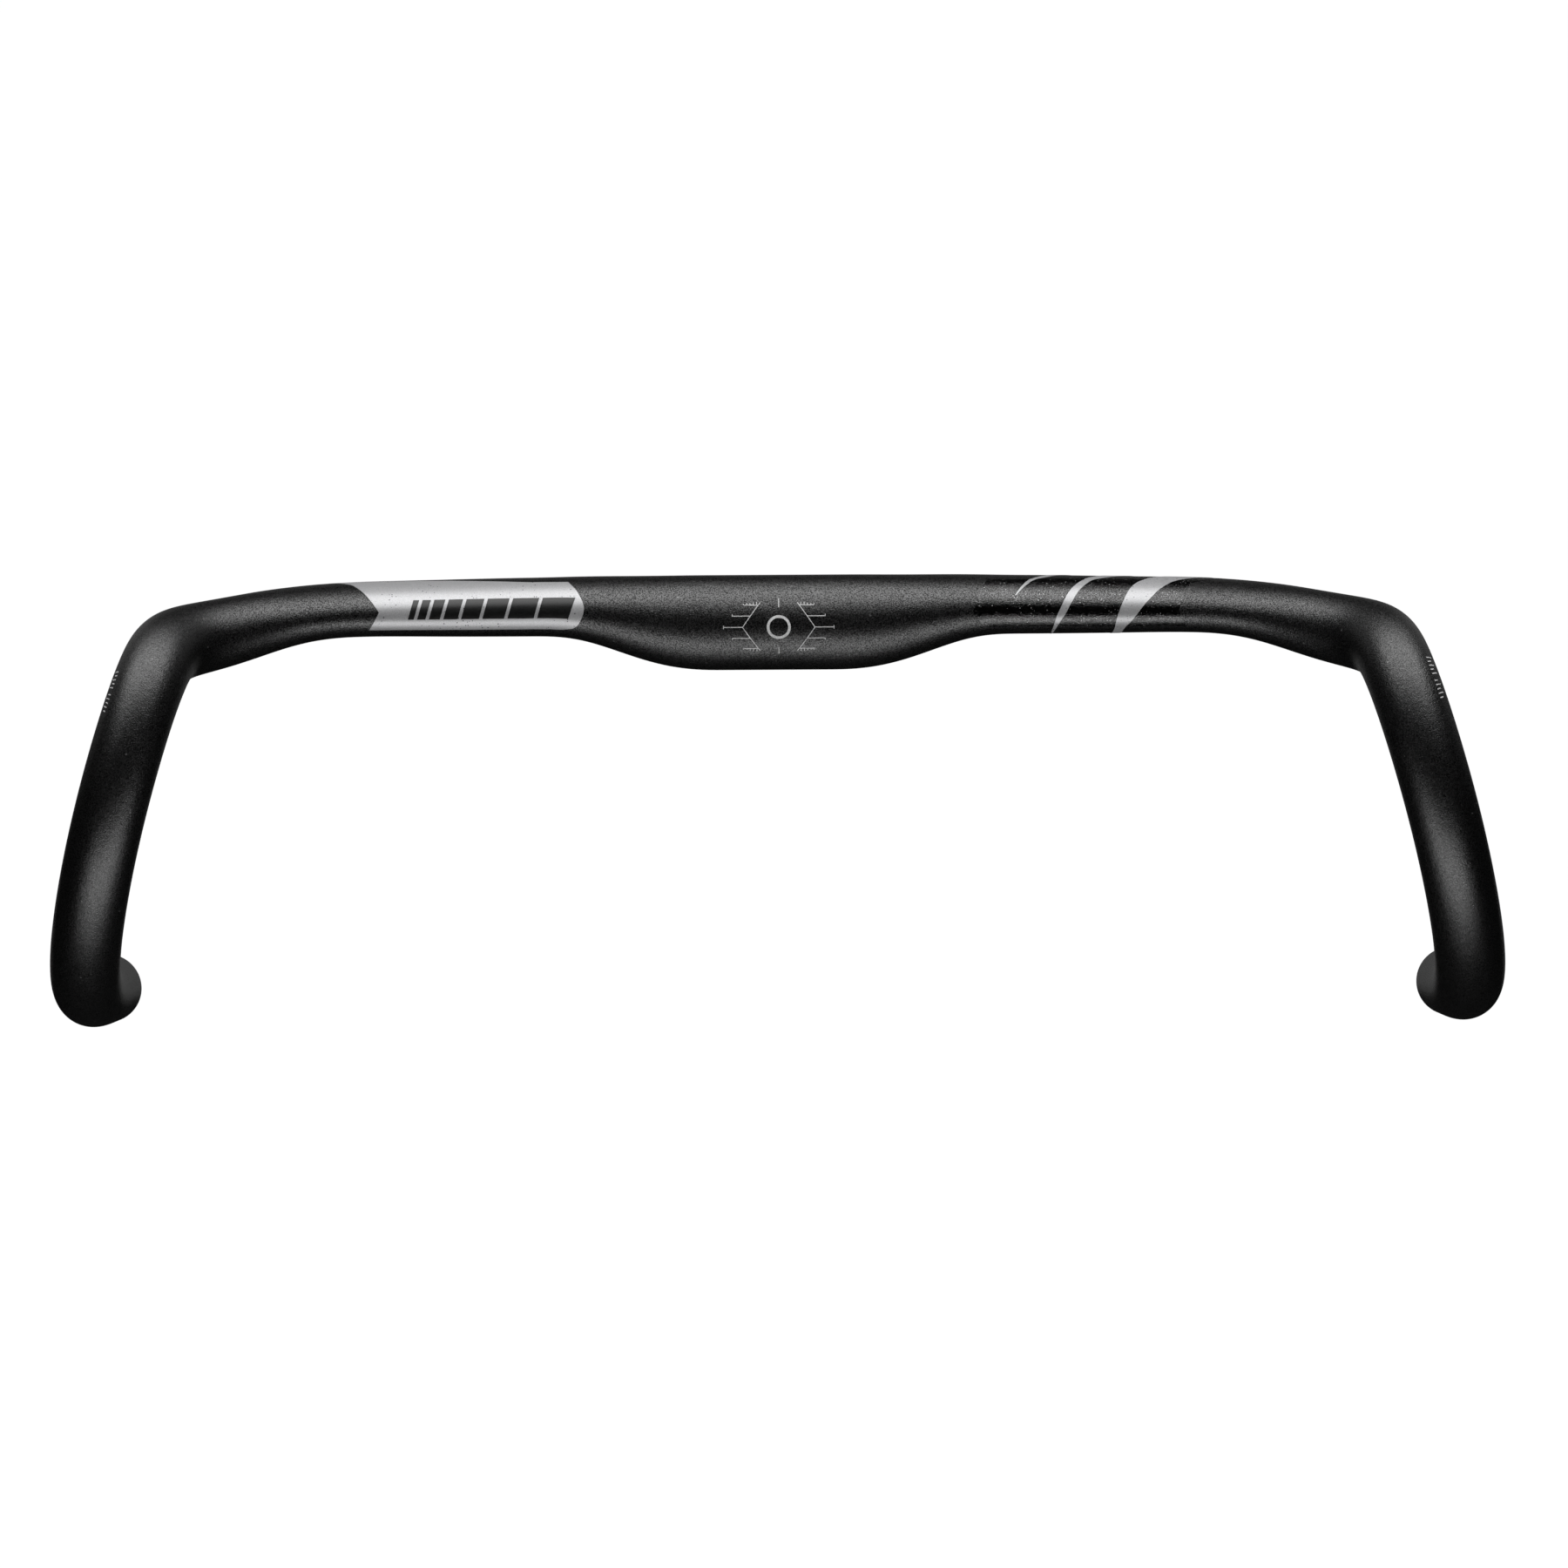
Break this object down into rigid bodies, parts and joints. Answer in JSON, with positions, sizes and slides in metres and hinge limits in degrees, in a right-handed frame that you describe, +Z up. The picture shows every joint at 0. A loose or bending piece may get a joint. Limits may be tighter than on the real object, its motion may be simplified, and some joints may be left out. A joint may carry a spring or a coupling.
{
  "type": "drop handlebar",
  "caption": "Flared drop handlebar: butted tube bulged for the stem clamp, winged tops, curved hooks with open ends, wrapped panels and centring marks.",
  "frame": {"origin": "centre of the stem clamp zone, on the tube's axis", "axes": "+X to the rider's left along the clamp axis, +Y backwards towards the rider, +Z up with the reach level and the drop ends sloping about 14 degrees down and back"},
  "size_m": [0.4854, 0.1089, 0.1597],
  "materials": {
    "matt_black": "blasted and anodised matt black aluminium with a fine grain",
    "satin_silver": "satin metallic silver transfer",
    "gloss_black": "clear gloss over black",
    "print_black": "black screen print",
    "print_white": "pale grey pad print"
  },
  "bodies": {
    "root": {"handlebar_tube": "matt_black", "silver_panel": "satin_silver", "gloss_panel": "gloss_black", "silver_panel_blocks": "print_black", "stripe_inner": "satin_silver", "stripe_middle": "satin_silver", "stripe_outer": "satin_silver", "clamp_scale_left": "print_white", "clamp_scale_right": "print_white", "centre_mark_top": "print_white", "centre_mark_bottom": "print_white", "centre_emblem": "print_white", "size_marks_left": "print_white", "size_marks_right": "print_white"}
  },
  "joints": []
}
